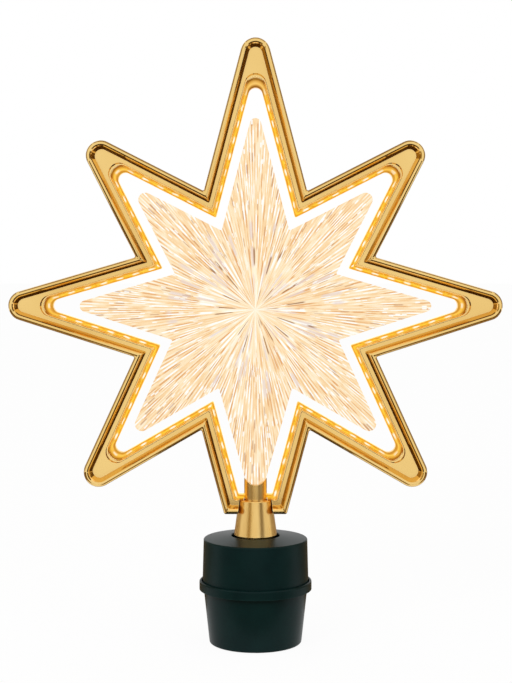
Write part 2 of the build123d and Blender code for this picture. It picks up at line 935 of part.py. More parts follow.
with BuildPart() as friction_washer:
    with Locations((0, 0, flange_top)):
        Cylinder(washer_outer, washer_height, align=rising)
        Cylinder(washer_inner, washer_height, align=rising, mode=Mode.SUBTRACT)
friction_washer.part.label = "friction_washer"
export_step(friction_washer.part, "parts/friction_washer.step")

with BuildPart() as base_cup:
    with BuildSketch(Plane.XZ):
        with BuildLine():
            Polyline(
                (socket_radius, 0),
                (cup_bottom_radius, 0),
                (cup_top_radius, cup_height),
                (ring_radius, ring_bottom),
                (ring_radius, ring_top),
                (ring_inner_radius, ring_top),
                (ring_inner_radius, cap_bottom),
                (ledge_radius, cap_bottom),
                (cup_bottom_radius - cup_wall, cup_wall),
                (socket_radius + socket_wall, cup_wall),
                (socket_radius + socket_wall, socket_top),
                (0, socket_top),
                (0, socket_depth),
                (socket_radius, socket_depth),
                close=True,
            )
        make_face()
    revolve(axis=Axis.Z)
    foot_rings = edges().filter_by(GeomType.CIRCLE).group_by(Axis.Z)[0].sort_by(SortBy.RADIUS)
    fillet(foot_rings[-1], cup_foot_rounding)
    foot_rings = edges().filter_by(GeomType.CIRCLE).group_by(Axis.Z)[0].sort_by(SortBy.RADIUS)
    chamfer(foot_rings[0], socket_lead)
    ring_rings = edges().filter_by(GeomType.CIRCLE).group_by(Axis.Z)[-1].sort_by(SortBy.RADIUS)
    fillet(ring_rings[-1], ring_edge_radius)
    ring_rings = edges().filter_by(GeomType.CIRCLE).group_by(Axis.Z)[-1].sort_by(SortBy.RADIUS)
    chamfer(ring_rings[0], ring_inner_edge)
    case_posts = discs(
        Plane.XY.offset(cup_wall), ring_of(case_boss_place, case_boss_angles), case_post_radius
    )
    extrude(case_posts, amount=case_boss_bottom - cup_wall)
    case_wells = discs(
        Plane.XY, ring_of(case_boss_place, case_boss_angles), case_head_radius + case_clearance
    )
    extrude(case_wells, amount=case_seat, mode=Mode.SUBTRACT)
    case_holes = discs(
        Plane.XY, ring_of(case_boss_place, case_boss_angles), case_screw_radius + case_clearance
    )
    extrude(case_holes, amount=case_boss_bottom, mode=Mode.SUBTRACT)
    board_posts = discs(
        Plane.XY.offset(cup_wall), ring_of(board_middle, board_screw_angles), board_post_radius
    )
    extrude(board_posts, amount=board_bottom - cup_wall)
    board_pilots = discs(
        Plane.XY.offset(board_screw_tip),
        ring_of(board_middle, board_screw_angles),
        board_screw_radius,
    )
    extrude(board_pilots, amount=board_bottom - board_screw_tip, mode=Mode.SUBTRACT)
    jack_hole = discs(Plane.XZ, [(jack_across, jack_axis)], jack_nose_radius + jack_hole_clearance)
    extrude(jack_hole, amount=-ring_radius, mode=Mode.SUBTRACT)
    with Locations((switch_across, ring_radius, switch_axis)):
        Box(
            2 * slot_half_length,
            2 * (ring_radius - switch_front),
            2 * slot_half_height,
            mode=Mode.SUBTRACT,
        )
base_cup.part.label = "base_cup"
export_step(base_cup.part, "parts/base_cup.step")

with BuildPart() as case_screws:
    drop_screws(
        ring_of(case_boss_place, case_boss_angles),
        case_seat,
        case_head_radius,
        case_head_height,
        case_screw_radius,
        case_screw_tip,
    )
case_screws.part.label = "case_screws"
export_step(case_screws.part, "parts/case_screws.step")

with BuildPart() as chassis_plate:
    with Locations((0, 0, plate_bottom)):
        Cylinder(plate_radius, plate_top - plate_bottom, align=rising)
        Cylinder(collar_outer, plate_thickness + collar_height, align=rising)
    with Locations((0, 0, plate_top)):
        Cylinder(collar_inner, collar_height, align=rising, mode=Mode.SUBTRACT)
    case_bosses = discs(
        Plane.XY.offset(case_boss_bottom), ring_of(case_boss_place, case_boss_angles), case_boss_radius
    )
    extrude(case_bosses, amount=plate_bottom - case_boss_bottom)
    case_pilots = discs(
        Plane.XY.offset(case_boss_bottom), ring_of(case_boss_place, case_boss_angles), case_screw_radius
    )
    extrude(case_pilots, amount=case_screw_tip - case_boss_bottom, mode=Mode.SUBTRACT)
    motor_pillars = discs(Plane.XY.offset(motor_top), ring_of(ear_place, ear_angles), ear_radius)
    extrude(motor_pillars, amount=plate_bottom - motor_top)
    motor_pilots = discs(
        Plane.XY.offset(motor_top), ring_of(ear_place, ear_angles), motor_screw_radius
    )
    extrude(motor_pilots, amount=motor_screw_tip - motor_top, mode=Mode.SUBTRACT)
    plate_holes = discs(
        Plane.XY.offset(plate_bottom),
        ring_of(plate_screw_place, plate_screw_angles),
        plate_screw_radius + case_clearance,
    )
    extrude(plate_holes, amount=plate_top - plate_bottom, mode=Mode.SUBTRACT)
    with Locations((0, 0, plate_bottom)):
        Cylinder(plate_hole_radius, plate_top - plate_bottom, align=rising, mode=Mode.SUBTRACT)
    with Locations((-wire_column, 0, plate_bottom)):
        Cylinder(wire_hole_radius, plate_top - plate_bottom, align=rising, mode=Mode.SUBTRACT)
chassis_plate.part.label = "chassis_plate"
export_step(chassis_plate.part, "parts/chassis_plate.step")

with BuildPart() as plate_screws:
    drop_screws(
        ring_of(plate_screw_place, plate_screw_angles),
        plate_bottom,
        plate_head_radius,
        plate_head_height,
        plate_screw_radius,
        plate_screw_tip,
    )
plate_screws.part.label = "plate_screws"
export_step(plate_screws.part, "parts/plate_screws.step")

with BuildPart() as gear_motor:
    with Locations((0, 0, motor_bottom)):
        Cylinder(motor_radius, motor_top - motor_bottom, align=rising)
    motor_rims = edges().filter_by(GeomType.CIRCLE)
    fillet(motor_rims.sort_by(Axis.Z)[0], motor_edge)
    with BuildSketch(Plane.XY.offset(motor_top - ear_thickness)):
        Rectangle(2 * ear_place, 2 * ear_radius, rotation=ear_angles[0])
        with Locations(*ring_of(ear_place, ear_angles)):
            Circle(ear_radius)
        with Locations(*ring_of(ear_place, ear_angles)):
            Circle(motor_screw_radius + case_clearance, mode=Mode.SUBTRACT)
    extrude(amount=ear_thickness)
    with Locations((0, 0, motor_top)):
        Cylinder(motor_nose_radius, motor_nose_top - motor_top, align=rising)
    with Locations((0, 0, shaft_bottom)):
        Cylinder(
            shaft_radius + shaft_clearance,
            motor_nose_top - shaft_bottom,
            align=rising,
            mode=Mode.SUBTRACT,
        )
gear_motor.part.label = "gear_motor"
export_step(gear_motor.part, "parts/gear_motor.step")

with BuildPart() as motor_screws:
    drop_screws(
        ring_of(ear_place, ear_angles),
        motor_top - ear_thickness,
        motor_head_radius,
        motor_head_height,
        motor_screw_radius,
        motor_screw_tip,
    )
motor_screws.part.label = "motor_screws"
export_step(motor_screws.part, "parts/motor_screws.step")

with BuildPart() as circuit_board:
    with BuildSketch(Plane.XY.offset(board_bottom)):
        with BuildLine():
            outer_edge = CenterArc((0, 0), board_outer, board_start, board_sweep)
            inner_edge = CenterArc((0, 0), board_inner, board_start, board_sweep)
            Line(outer_edge @ 0, inner_edge @ 0)
            Line(outer_edge @ 1, inner_edge @ 1)
        make_face()
        with Locations(*ring_of(board_middle, board_screw_angles)):
            Circle(board_screw_radius + case_clearance, mode=Mode.SUBTRACT)
    extrude(amount=board_top - board_bottom)
circuit_board.part.label = "circuit_board"
export_step(circuit_board.part, "parts/circuit_board.step")

with BuildPart() as board_screws:
    board_places = ring_of(board_middle, board_screw_angles)
    extrude(discs(Plane.XY.offset(board_top), board_places, board_head_radius), amount=board_head_height)
    extrude(
        discs(Plane.XY.offset(board_screw_tip), board_places, board_screw_radius),
        amount=board_top - board_screw_tip,
    )
board_screws.part.label = "board_screws"
export_step(board_screws.part, "parts/board_screws.step")

with BuildPart() as board_chips:
    with BuildSketch(Plane.XY.offset(board_top)):
        with Locations(polar(board_middle - chip_body_offset, chip_body_angle)):
            Rectangle(chip_body_length, chip_body_width, rotation=chip_body_angle)
    extrude(amount=chip_body_height)
    extrude(
        discs(
            Plane.XY.offset(board_top),
            [polar(board_middle - capacitor_offset, capacitor_angle)],
            capacitor_radius,
        ),
        amount=capacitor_height,
    )
board_chips.part.label = "board_chips"
export_step(board_chips.part, "parts/board_chips.step")

with BuildPart() as power_jack:
    with Locations((jack_across, (jack_back + jack_front) / 2, board_top)):
        Box(jack_width, jack_front - jack_back, jack_height, align=rising)
    jack_spot = [(jack_across, jack_axis)]
    nose = discs(Plane.XZ.offset(-jack_front), jack_spot, jack_nose_radius)
    extrude(nose, amount=-jack_nose_length)
    bore_plane = Plane.XZ.offset(jack_bore_depth - jack_nose_front)
    bore = discs(bore_plane, jack_spot, jack_bore_radius)
    extrude(bore, amount=-jack_bore_depth, mode=Mode.SUBTRACT)
    pin = discs(bore_plane, jack_spot, jack_pin_radius)
    extrude(pin, amount=jack_pin_setback - jack_bore_depth)
power_jack.part.label = "power_jack"
export_step(power_jack.part, "parts/power_jack.step")

with BuildPart() as switch_body:
    with Locations((switch_across, (switch_back + switch_front) / 2, board_top)):
        Box(switch_length, switch_front - switch_back, switch_height, align=rising)
    with Locations((switch_across, switch_front, switch_axis)):
        Box(
            2 * slot_half_length,
            2 * (switch_front - slot_floor),
            2 * slot_half_height,
            mode=Mode.SUBTRACT,
        )
switch_body.part.label = "switch_body"
export_step(switch_body.part, "parts/switch_body.step")

with BuildPart() as switch_knob:
    with Locations((switch_across, (knob_back + knob_front) / 2, switch_axis)):
        Box(2 * knob_half, knob_front - knob_back, 2 * knob_half)
    fillet(faces().sort_by(Axis.Y)[-1].edges(), knob_edge)
switch_knob.part.label = "switch_knob"
export_step(switch_knob.part, "parts/switch_knob.step")

supply_path = [
    (-wire_column, plate_top),
    (-wire_column, plate_bottom - wire_pass_drop),
    (-wire_riser, plate_bottom - wire_pass_drop),
    (-wire_riser, board_top),
]
with BuildPart() as supply_leads:
    add(wire(Plane.XZ.offset(wire_spread), supply_path, wire_radius))
    add(wire(Plane.XZ.offset(-wire_spread), supply_path, wire_radius))
supply_leads.part.label = "supply_leads"
export_step(supply_leads.part, "parts/supply_leads.step")

star_lead_path = [
    (-wire_column, plate_top),
    (-wire_column, wire_exit_height),
    (-wire_foot_place, wire_exit_height),
    (-wire_foot_place, wire_foot_top),
]
with BuildPart() as star_leads:
    add(wire(Plane.XZ.offset(wire_spread), star_lead_path, wire_radius))
    add(wire(Plane.XZ.offset(-wire_spread), star_lead_path, wire_radius))
star_leads.part.label = "star_leads"
export_step(star_leads.part, "parts/star_leads.step")

motor_lead_path = [
    (motor_radius, motor_bottom + motor_wire_rise),
    (motor_radius + motor_wire_gap, motor_bottom + motor_wire_rise),
    (motor_radius + motor_wire_gap, board_top),
]
lead_heading = polar(1, motor_wire_angle)
lead_plane = Plane(
    origin=(0, 0, 0),
    x_dir=(lead_heading.X, lead_heading.Y, 0),
    z_dir=(lead_heading.Y, -lead_heading.X, 0),
)
with BuildPart() as motor_leads:
    add(wire(lead_plane.offset(wire_spread), motor_lead_path, wire_radius))
    add(wire(lead_plane.offset(-wire_spread), motor_lead_path, wire_radius))
motor_leads.part.label = "motor_leads"
export_step(motor_leads.part, "parts/motor_leads.step")
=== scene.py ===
import math
import random
import bmesh
import bpy
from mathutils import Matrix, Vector


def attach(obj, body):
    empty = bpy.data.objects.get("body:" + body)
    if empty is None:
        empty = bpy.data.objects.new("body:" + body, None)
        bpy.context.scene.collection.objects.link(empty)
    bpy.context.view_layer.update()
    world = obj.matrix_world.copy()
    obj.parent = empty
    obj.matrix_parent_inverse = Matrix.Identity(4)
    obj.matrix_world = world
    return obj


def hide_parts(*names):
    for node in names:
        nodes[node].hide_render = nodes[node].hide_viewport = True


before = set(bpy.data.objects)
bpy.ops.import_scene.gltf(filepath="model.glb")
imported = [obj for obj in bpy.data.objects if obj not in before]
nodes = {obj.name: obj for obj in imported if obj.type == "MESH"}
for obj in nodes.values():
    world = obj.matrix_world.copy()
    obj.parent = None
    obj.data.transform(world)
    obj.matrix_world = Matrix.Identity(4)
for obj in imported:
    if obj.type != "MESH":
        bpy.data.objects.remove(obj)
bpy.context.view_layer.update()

scene = bpy.context.scene
mm = 0.001
fullTurn = 2 * math.pi
print("frame loaded:", len(nodes), "nodes")

# outline of the star, in millimetres from its centre and degrees from its right side
starShape = {
    "height": 165.8,
    "spokes": ((122.65, 1.1), (116.0, 45), (135.3, 90), (116.0, 135),
               (122.65, 178.9), (119.2, 225.9), (137.8, 270), (119.2, 314.1)),
    "valleys": ((65.0, 23.8), (64.4, 66.5), (64.4, 113.5), (65.0, 156.2),
                (64.3, 201.2), (65.15, 245.75), (65.15, 294.25), (64.3, 338.8)),
    "tipRadius": 7.4,
    "footDrop": 101.2,
    "topSpoke": 2,
    "bottomSpoke": 6,
}


def aimed(turn):
    return Vector((math.cos(turn), math.sin(turn)))


def polar(radius, degrees):
    turn = math.radians(degrees)
    return Vector((radius * math.cos(turn), radius * math.sin(turn)))


def leftOf(way):
    return Vector((-way.y, way.x))


def cross2(a, b):
    return a.x * b.y - a.y * b.x


def spokeApex(number):
    # where the two straight edges of a spoke would meet past its rounded tip
    radius = starShape["tipRadius"]
    reach, degrees = starShape["spokes"][number]
    centre = polar(reach - radius, degrees)
    first = polar(*starShape["valleys"][number - 1])
    second = polar(*starShape["valleys"][number])
    runs = []
    for start, side in ((first, -1), (second, 1)):
        way = centre - start
        runs.append(aimed(math.atan2(way.y, way.x) + side * math.asin(radius / way.length)))
    return first + runs[0] * (cross2(second - first, runs[1]) / cross2(runs[0], runs[1]))


def cornerWays(corners, number):
    # directions into a corner and out of it
    corner = corners[number][0]
    before = (corner - corners[number - 1][0]).normalized()
    after = (corners[(number + 1) % len(corners)][0] - corner).normalized()
    return before, after


def insetCorners(inset, footed=False):
    # sharp corners of the outline moved inward, each with its kind
    corners = []
    valleys = starShape["valleys"]
    for number, valley in enumerate(valleys):
        apex = spokeApex(number)
        if number != starShape["bottomSpoke"]:
            corners.append((apex, "diagonal" if number % 2 else "tip"))
        elif footed:
            for start in (polar(*valleys[number - 1]), polar(*valley)):
                share = (starShape["footDrop"] + start.y) / (start.y - apex.y)
                corners.append((start.lerp(apex, share), "foot"))
        else:
            corners.append((apex, "bottom"))
        corners.append((polar(*valley), "valley"))
    moved = []
    for number, (corner, kind) in enumerate(corners):
        a, b = (leftOf(way) for way in cornerWays(corners, number))
        moved.append((corner + (a + b) * (inset / (1 + a.dot(b))), kind))
    return moved


def starLoop(corners, radii, legSteps, arcSteps):
    # closed run of points round the star: every call with the same steps gives matching points
    arcs = []
    for number, (corner, kind) in enumerate(corners):
        before, after = cornerWays(corners, number)
        bend = math.atan2(cross2(before, after), before.dot(after))
        radius = radii[kind]
        steps = arcSteps[kind]
        start = corner - before * (radius * math.tan(abs(bend) / 2))
        centre = start + leftOf(before) * math.copysign(radius, bend)
        spin = math.atan2(start.y - centre.y, start.x - centre.x)
        arcs.append([centre + aimed(spin + bend * s / steps) * radius for s in range(steps + 1)])
    points = []
    for number, arc in enumerate(arcs):
        end = arcs[(number + 1) % len(arcs)][0]
        points += arc
        points += [arc[-1].lerp(end, s / legSteps) for s in range(1, legSteps)]
    return points


def place(point, depth):
    # a point of the star's plane, depth toward the viewer, in metres of the frame
    return Vector((point.x * mm, -depth * mm, (point.y + starShape["height"]) * mm))


def newPiece(name, verts, faces, body, smooth=True):
    mesh = bpy.data.meshes.new(name)
    mesh.from_pydata([tuple(v) for v in verts], [], faces)
    mesh.validate()
    work = bmesh.new()
    work.from_mesh(mesh)
    bmesh.ops.recalc_face_normals(work, faces=work.faces)
    work.to_mesh(mesh)
    work.free()
    obj = bpy.data.objects.new(name, mesh)
    scene.collection.objects.link(obj)
    if smooth:
        mesh.shade_smooth()
    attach(obj, body)
    return obj


# small helpers for shader trees
def feed(tree, socket, value):
    # an output is linked, a number or a colour is set
    if isinstance(value, bpy.types.NodeSocket):
        tree.links.new(value, socket)
    else:
        socket.default_value = (*value, 1.0) if isinstance(value, tuple) else value


def addMath(tree, kind, *values, clamp=False):
    node = tree.nodes.new("ShaderNodeMath")
    node.operation = kind
    node.use_clamp = clamp
    for socket, value in zip(node.inputs, values):
        feed(tree, socket, value)
    return node.outputs[0]


def times(tree, first, *others):
    # product of two or more values
    product = first
    for value in others:
        product = addMath(tree, "MULTIPLY", product, value)
    return product


def addNoise(tree, vector, scale, detail=3.0, rough=0.55):
    node = tree.nodes.new("ShaderNodeTexNoise")
    for label, value in (("Vector", vector), ("Scale", scale), ("Detail", detail), ("Roughness", rough)):
        feed(tree, node.inputs[label], value)
    return node.outputs["Fac"]


def addRange(tree, value, low, high, kind="LINEAR"):
    # 0 at low to 1 at high
    node = tree.nodes.new("ShaderNodeMapRange")
    node.interpolation_type = kind
    node.inputs["From Min"].default_value = low
    node.inputs["From Max"].default_value = high
    tree.links.new(value, node.inputs["Value"])
    return node.outputs["Result"]


def stepUp(tree, value, low, high):
    return addRange(tree, value, low, high, "SMOOTHSTEP")


def stepDown(tree, value, low, high):
    return addMath(tree, "SUBTRACT", 1.0, stepUp(tree, value, low, high))


def joinParts(tree, *values):
    node = tree.nodes.new("ShaderNodeCombineXYZ")
    for socket, value in zip(node.inputs, values):
        feed(tree, socket, value)
    return node.outputs[0]


def splitParts(tree, vector):
    node = tree.nodes.new("ShaderNodeSeparateXYZ")
    tree.links.new(vector, node.inputs[0])
    return node.outputs


def scaleVector(tree, vector, scale):
    node = tree.nodes.new("ShaderNodeVectorMath")
    node.operation = "MULTIPLY"
    tree.links.new(vector, node.inputs[0])
    if isinstance(scale, tuple):
        node.inputs[1].default_value = scale
    else:
        tree.links.new(scale, node.inputs[1])
    return node.outputs[0]


def objectPlace(tree):
    return tree.nodes.new("ShaderNodeTexCoord").outputs["Object"]


def addRamp(tree, factor, stops):
    node = tree.nodes.new("ShaderNodeValToRGB")
    ramp = node.color_ramp
    while len(ramp.elements) < len(stops):
        ramp.elements.new(0.5)
    for element, (position, colour) in zip(ramp.elements, stops):
        element.position = position
        element.color = (*colour, 1.0)
    tree.links.new(factor, node.inputs["Fac"])
    return node.outputs["Color"]


def mixColour(tree, factor, a, b, blend="MIX"):
    node = tree.nodes.new("ShaderNodeMix")
    node.data_type = "RGBA"
    node.blend_type = blend
    for number, value in ((0, factor), (6, a), (7, b)):  # sockets of a colour mix
        feed(tree, node.inputs[number], value)
    return node.outputs[2]


def mixValue(tree, factor, a, b):
    node = tree.nodes.new("ShaderNodeMix")
    for number, value in ((0, factor), (2, a), (3, b)):  # sockets of a number mix
        feed(tree, node.inputs[number], value)
    return node.outputs[0]


def addBump(tree, shader, height, strength, depth):
    bump = tree.nodes.new("ShaderNodeBump")
    bump.inputs["Strength"].default_value = strength
    bump.inputs["Distance"].default_value = depth * mm
    tree.links.new(height, bump.inputs["Height"])
    tree.links.new(bump.outputs["Normal"], shader.inputs["Normal"])


def newMaterial(name):
    mat = bpy.data.materials.new(name)
    mat.use_nodes = True
    tree = mat.node_tree
    return mat, tree, tree.nodes["Principled BSDF"]


def srgb(r, g, b):
    # a colour as a screen shows it, in the linear values of a socket
    return tuple(((c / 255 + 0.055) / 1.055) ** 2.4 if c > 10 else c / 255 / 12.92 for c in (r, g, b))


# shared shader groups
groupLook = {"samples": 16, "edgeRadius": 0.6, "grainDetail": 4.0}  # the radius in millimetres


def makeGroup(name, inputs, outputs):
    group = bpy.data.node_groups.new(name, "ShaderNodeTree")
    for label, value in inputs:
        socket = group.interface.new_socket(label, in_out="INPUT", socket_type="NodeSocketFloat")
        socket.default_value = value
    for label in outputs:
        group.interface.new_socket(label, in_out="OUTPUT", socket_type="NodeSocketFloat")
    return group, group.nodes.new("NodeGroupInput"), group.nodes.new("NodeGroupOutput")


def buildSurfaceGrain():
    # cloudy tone and fine height over a moulded or plated surface
    inputs = (("Cloud Scale", 40.0), ("Grain Scale", 900.0), ("Stretch", 1.0))
    group, given, out = makeGroup("surfaceGrain", inputs, ("Tone", "Height"))
    stretch = joinParts(group, 1.0, 1.0, given.outputs["Stretch"])
    way = scaleVector(group, objectPlace(group), stretch)
    tone = addNoise(group, way, given.outputs["Cloud Scale"])
    height = addNoise(group, way, given.outputs["Grain Scale"], groupLook["grainDetail"])
    group.links.new(tone, out.inputs["Tone"])
    group.links.new(height, out.inputs["Height"])
    return group


def buildEdgeWearAndHighlight():
    # mask that is high along hard edges, for rubbed wear and a painted highlight on them
    group, given, out = makeGroup("edgeWearAndHighlight", (("Breakup", 300.0), ("Gain", 4.0)), ("Mask",))
    bevel = group.nodes.new("ShaderNodeBevel")
    bevel.samples = groupLook["samples"]
    bevel.inputs["Radius"].default_value = groupLook["edgeRadius"] * mm
    geometry = group.nodes.new("ShaderNodeNewGeometry")
    dot = group.nodes.new("ShaderNodeVectorMath")
    dot.operation = "DOT_PRODUCT"
    group.links.new(bevel.outputs[0], dot.inputs[0])
    group.links.new(geometry.outputs["Normal"], dot.inputs[1])
    turned = addMath(group, "SUBTRACT", 1.0, dot.outputs["Value"])
    edge = addMath(group, "MULTIPLY", turned, given.outputs["Gain"], clamp=True)
    broken = addNoise(group, objectPlace(group), given.outputs["Breakup"])
    group.links.new(addMath(group, "MULTIPLY", edge, broken, clamp=True), out.inputs["Mask"])
    return group


def buildHollowShade():
    # painted shade: mask that is high in corners and hollows, where the colour is darkened as if shade fell
    # there
    group, given, out = makeGroup("hollowShade", (("Reach", 0.004), ("Gain", 1.0)), ("Mask",))
    hollow = group.nodes.new("ShaderNodeAmbientOcclusion")
    hollow.samples = groupLook["samples"]
    hollow.only_local = True
    group.links.new(given.outputs["Reach"], hollow.inputs["Distance"])
    shade = addMath(group, "SUBTRACT", 1.0, hollow.outputs["AO"])
    group.links.new(addMath(group, "MULTIPLY", shade, given.outputs["Gain"], clamp=True), out.inputs["Mask"])
    return group


def placeGroup(tree, group, values):
    node = tree.nodes.new("ShaderNodeGroup")
    node.node_tree = group
    for label, value in values.items():
        node.inputs[label].default_value = value
    return node.outputs


surfaceGrain = buildSurfaceGrain()
edgeWearAndHighlight = buildEdgeWearAndHighlight()
hollowShade = buildHollowShade()
print("shared shader groups made")

# what a finish has where its own settings say nothing else, with reach and bumpDepth in millimetres
finishLook = {
    "cloud": 60.0, "grain": 1400.0, "stretch": 1.0, "darkAt": 0.3, "lightAt": 0.7,
    "bump": 0.2, "bumpDepth": 0.1, "metal": 0.0, "gloss": 0.5, "roughBy": "Height",
}


def addGrain(tree, look):
    values = {"Cloud Scale": look["cloud"], "Grain Scale": look["grain"], "Stretch": look["stretch"]}
    return placeGroup(tree, surfaceGrain, values)


def makeFinish(name, ownLook):
    look = {**finishLook, **ownLook}
    mat, tree, shader = newMaterial(name)
    grain = addGrain(tree, look)
    colour = addRamp(tree, grain["Tone"], ((look["darkAt"], look["dark"]), (look["lightAt"], look["light"])))
    if "hollow" in look:
        # painted shade: corners and hollows mixed toward a darker colour, as if shade fell there
        cornerShadeMask = placeGroup(tree, hollowShade, {"Reach": look["reach"] * mm, "Gain": look["depth"]})
        colour = mixColour(tree, cornerShadeMask["Mask"], colour, look["hollow"])
    if "edge" in look:
        # painted highlight with rubbed wear: edges mixed toward the lighter edge colour
        wearAndHighlight = placeGroup(tree, edgeWearAndHighlight, {"Breakup": look["breakup"], "Gain": look["wearAndHighlight"]})
        colour = mixColour(tree, wearAndHighlight["Mask"], colour, look["edge"])
    tree.links.new(colour, shader.inputs["Base Color"])
    metal = look["metal"]
    if "worn" in look:  # plating worn thin on the edges
        metal = addMath(tree, "SUBTRACT", metal, times(tree, wearAndHighlight["Mask"], look["worn"]), clamp=True)
    feed(tree, shader.inputs["Metallic"], metal)
    shader.inputs["Specular IOR Level"].default_value = look["gloss"]
    low, high = look["rough"]
    rough = addMath(tree, "MULTIPLY_ADD", grain[look["roughBy"]], high - low, low)
    tree.links.new(rough, shader.inputs["Roughness"])
    addBump(tree, shader, grain["Height"], look["bump"], look["bumpDepth"])
    return mat


def dress(finish, wearers):
    for name in wearers:
        mesh = nodes[name].data
        mesh.materials.clear()
        mesh.materials.append(finish)


# gold frame, sleeve and post
goldLooks = {
    "goldFrame": {
        "dark": srgb(230, 190, 112), "light": srgb(244, 209, 134),
        # the darker corner colour is painted shade in corners and hollows
        # the lighter edge colour is a painted highlight along the edges, with some rubbed wear
        "edge": srgb(255, 236, 182), "hollow": srgb(180, 126, 50),
        "rough": (0.07, 0.12), "roughBy": "Tone", "metal": 1.0,
        "cloud": 14.0, "grain": 900.0, "bump": 0.02,
        "wearAndHighlight": 3.2, "breakup": 220.0, "worn": 1.8, "reach": 1.6, "depth": 0.35,
        "wearers": ("frame_front", "frame_back"),
    },
    "goldStem": {
        "dark": srgb(232, 188, 110), "light": srgb(248, 210, 134),
        # the darker corner colour is painted shade in corners and hollows
        # the lighter edge colour is a painted highlight along the edges, with some rubbed wear
        "edge": srgb(255, 232, 170), "hollow": srgb(190, 138, 66),
        "rough": (0.24, 0.32), "roughBy": "Tone", "metal": 1.0,
        "cloud": 260.0, "grain": 2200.0, "stretch": 0.03, "bump": 0.012,
        "wearAndHighlight": 2.0, "breakup": 220.0, "worn": 0.5, "reach": 6.0, "depth": 0.8,
        "wearers": ("stem_sleeve", "star_post"),
    },
}
for name, look in goldLooks.items():
    dress(makeFinish(name, look), look["wearers"])
print("gold pieces dressed")

# green base
baseLook = {
    # the darker corner colour is painted shade under the ring and in hollows
    # the lighter edge colour is a painted highlight along the edges, with some rubbed wear
    "dark": srgb(4, 25, 25), "light": srgb(6, 31, 30), "edge": srgb(44, 74, 70), "hollow": srgb(2, 8, 7),
    "rough": (0.30, 0.40), "gloss": 0.10, "cloud": 70.0, "grain": 1800.0, "bump": 0.12,
    "wearAndHighlight": 3.0, "breakup": 160.0, "reach": 6.0, "depth": 1.6,
    "wearers": ("base_cap", "base_cup"),
}
dress(makeFinish("greenBase", baseLook), baseLook["wearers"])

# small and hidden pieces
plainLooks = {
    "platedSteel": {
        "dark": (0.42, 0.42, 0.43), "light": (0.60, 0.60, 0.61), "rough": (0.2, 0.4), "metal": 1.0,
        "wearers": ("frame_screws", "post_pin", "motor_shaft", "case_screws", "plate_screws",
                    "motor_screws", "board_screws"),
    },
    "zincCan": {
        "dark": (0.40, 0.41, 0.42), "light": (0.52, 0.53, 0.54), "rough": (0.3, 0.5), "metal": 1.0,
        "wearers": ("gear_motor",),
    },
    "blackMoulding": {
        "dark": (0.012, 0.012, 0.012), "light": (0.022, 0.022, 0.023), "rough": (0.35, 0.55),
        "wearers": ("post_bush", "board_chips", "power_jack", "switch_knob"),
    },
    "greyMoulding": {
        "dark": (0.11, 0.115, 0.12), "light": (0.16, 0.165, 0.17), "rough": (0.4, 0.6),
        "wearers": ("chassis_plate", "switch_body"),
    },
    "boardGreen": {
        "dark": (0.01, 0.10, 0.04), "light": (0.02, 0.15, 0.06), "rough": (0.3, 0.45),
        "wearers": ("circuit_board",),
    },
    "blackFelt": {
        "dark": (0.012, 0.012, 0.012), "light": (0.03, 0.03, 0.03), "rough": (0.8, 0.95),
        "wearers": ("friction_washer",),
    },
    "leadSkin": {
        "dark": (0.02, 0.02, 0.02), "light": (0.04, 0.04, 0.04), "rough": (0.4, 0.6),
        "wearers": ("star_leads", "supply_leads", "motor_leads"),
    },
    "whiteFlex": {
        "dark": (0.72, 0.70, 0.62), "light": (0.82, 0.80, 0.74), "rough": (0.4, 0.6),
        "wearers": ("light_strip",),
    },
}
for name, look in plainLooks.items():
    dress(makeFinish(name, look), look["wearers"])

# lit chips on the strip
chipLook = {
    "tones": ((0.35, srgb(255, 214, 110)), (0.6, srgb(255, 250, 226))),
    "cloud": 500.0, "grain": 1500.0, "stretch": 1.0, "strength": 1.2,
}
litChip, chipTree, chipShader = newMaterial("litChip")
chipColour = addRamp(chipTree, addGrain(chipTree, chipLook)["Tone"], chipLook["tones"])
chipTree.links.new(chipColour, chipShader.inputs["Emission Color"])
chipShader.inputs["Emission Strength"].default_value = chipLook["strength"]
dress(litChip, ("led_chips",))
print("base and small pieces dressed")

